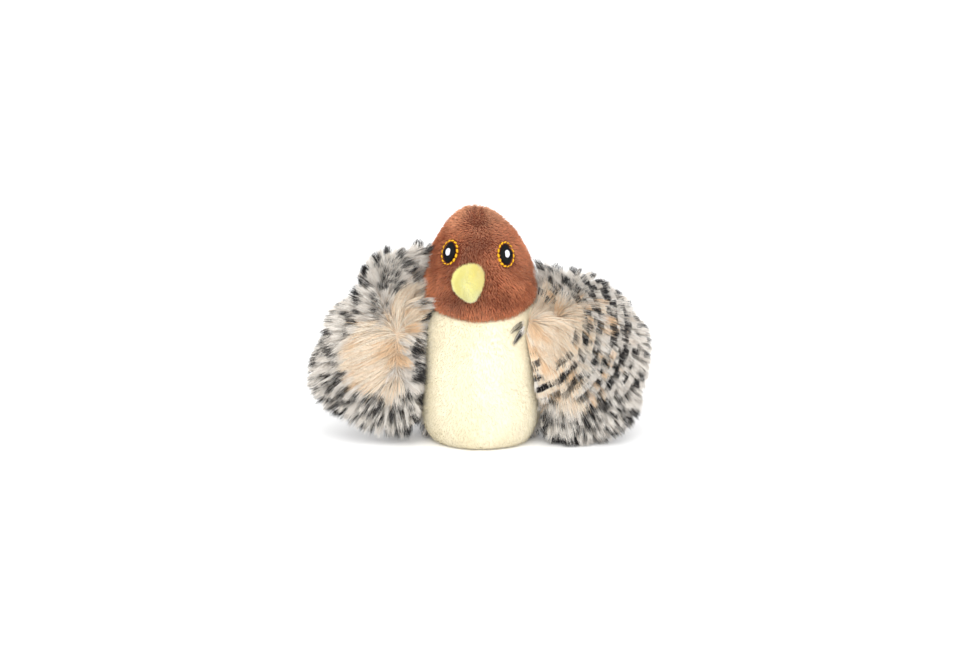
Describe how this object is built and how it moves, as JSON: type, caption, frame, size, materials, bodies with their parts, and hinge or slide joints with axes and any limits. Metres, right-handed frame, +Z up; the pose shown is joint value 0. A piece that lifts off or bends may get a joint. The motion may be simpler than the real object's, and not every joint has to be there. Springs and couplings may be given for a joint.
{
  "type": "flapping plush bird toy",
  "caption": "Round stuffed plush bird with spotted furry wings that flap on a battery module, a yellow beak, embroidered eyes and a flat base.",
  "frame": {"origin": "centre of the footprint, on the surface that the bird stands on", "axes": "+Z up, the bird faces -Y, and +X runs across the wings to the bird's left"},
  "size_m": [0.1278, 0.0646, 0.098],
  "materials": {
    "cream_plush": "short cream plush",
    "spotted_fur": "long spotted pile",
    "brown_plush": "brown plush with lighter rims",
    "yellow_plush": "soft yellow plush",
    "polyester_fill": "loose white fibre filling",
    "black_thread": "satin stitched black thread",
    "gold_thread": "gold embroidery thread",
    "white_thread": "satin stitched white thread",
    "hook_tape": "nylon hooks",
    "loop_tape": "brushed nylon loops",
    "housing_plastic": "fine moulded texture",
    "drive_plastic": "natural acetal",
    "blade_plastic": "thin translucent sheet",
    "steel": "bright steel",
    "brass": "cut brass",
    "motor_cap_plastic": "moulded nylon",
    "cell_foil": "heat-sealed foil",
    "foam": "closed-cell foam",
    "board": "green solder mask",
    "black_resin": "potting resin",
    "switch_plastic": "moulded nylon",
    "sensor_can": "plated can",
    "speaker_paper": "pressed film",
    "lead_sleeve": "red lead sleeve"
  },
  "bodies": {
    "body": {"belly_panel": "cream_plush", "back_panel": "spotted_fur", "base_panel": "cream_plush", "loop_strip": "loop_tape", "body_stuffing": "polyester_fill", "head_cover": "brown_plush", "head_stuffing": "polyester_fill", "beak_cover": "yellow_plush", "beak_stuffing": "polyester_fill", "eye_pupils": "black_thread", "eye_rings": "gold_thread", "eye_highlights": "white_thread", "housing_front": "housing_plastic", "housing_rear": "housing_plastic", "housing_screws": "steel", "gear_plate": "drive_plastic", "rocker_pins": "steel", "crank_shaft": "steel", "idler_shaft": "steel", "shaft_clips": "steel", "motor_can": "steel", "motor_endcap": "motor_cap_plastic", "battery_cell": "cell_foil", "battery_foam": "foam", "circuit_board": "board", "sound_chip": "black_resin", "usb_socket": "steel", "switch_body": "switch_plastic", "motion_sensor": "sensor_can", "speaker_frame": "steel", "speaker_cone": "speaker_paper", "motor_leads": "lead_sleeve", "battery_leads": "lead_sleeve", "speaker_leads": "lead_sleeve"},
    "left_wing": {"left_wing_front": "spotted_fur", "left_wing_back": "spotted_fur", "left_wing_wadding": "polyester_fill", "left_wing_blade": "blade_plastic", "left_rocker": "drive_plastic", "left_blade_rivets": "steel"},
    "right_wing": {"right_wing_front": "spotted_fur", "right_wing_back": "spotted_fur", "right_wing_wadding": "polyester_fill", "right_wing_blade": "blade_plastic", "right_rocker": "drive_plastic", "right_blade_rivets": "steel"},
    "crosshead": {"crosshead": "drive_plastic", "drive_pin": "steel"},
    "crank": {"crank_gear": "drive_plastic", "crank_pin": "steel"},
    "idler": {"idler_gear": "drive_plastic"},
    "motor_rotor": {"motor_shaft": "steel", "motor_pinion": "brass"},
    "switch_knob": {"switch_knob": "switch_plastic"},
    "closure_flap": {"closure_flap": "cream_plush", "hook_strip": "hook_tape"}
  },
  "joints": [
    {"name": "left_wing_flap", "type": "hinge", "parent": "body", "child": "left_wing", "pos_m": [-0.011, -0.006, 0.046], "axis": [0, 1, 0], "range_deg": [0, 30]},
    {"name": "right_wing_flap", "type": "hinge", "parent": "body", "child": "right_wing", "pos_m": [0.011, -0.006, 0.046], "axis": [0, -1, 0], "range_deg": [0, 30]},
    {"name": "crosshead_slide", "type": "slide", "parent": "body", "child": "crosshead", "axis": [0, 0, 1], "range_m": [-0.00589, 0]},
    {"name": "crank_spin", "type": "hinge", "parent": "body", "child": "crank", "pos_m": [0, -0.004, 0.034], "axis": [0, 1, 0], "range_deg": [0, 180]},
    {"name": "idler_spin", "type": "hinge", "parent": "body", "child": "idler", "pos_m": [0.006, -0.003, 0.02361], "axis": [0, 1, 0], "range_deg": [-540, 0]},
    {"name": "motor_spin", "type": "hinge", "parent": "body", "child": "motor_rotor", "pos_m": [-0.00346, -0.002, 0.01979], "axis": [0, 1, 0], "range_deg": [0, 1296]},
    {"name": "switch_slide", "type": "slide", "parent": "body", "child": "switch_knob", "axis": [1, 0, 0], "range_m": [0, 0.002]},
    {"name": "closure_flap_hinge", "type": "hinge", "parent": "body", "child": "closure_flap", "pos_m": [0, 0.0112, 0.0008], "axis": [1, 0, 0], "range_deg": [0, 100]}
  ],
  "couplings": [
    {"joint": "right_wing_flap", "follows": "left_wing_flap", "ratio": 1},
    {"joint": "crosshead_slide", "follows": "left_wing_flap", "m_per_rad": -0.011258},
    {"joint": "crank_spin", "follows": "left_wing_flap", "ratio": 6},
    {"joint": "idler_spin", "follows": "left_wing_flap", "ratio": -18},
    {"joint": "motor_spin", "follows": "left_wing_flap", "ratio": 43.2}
  ]
}
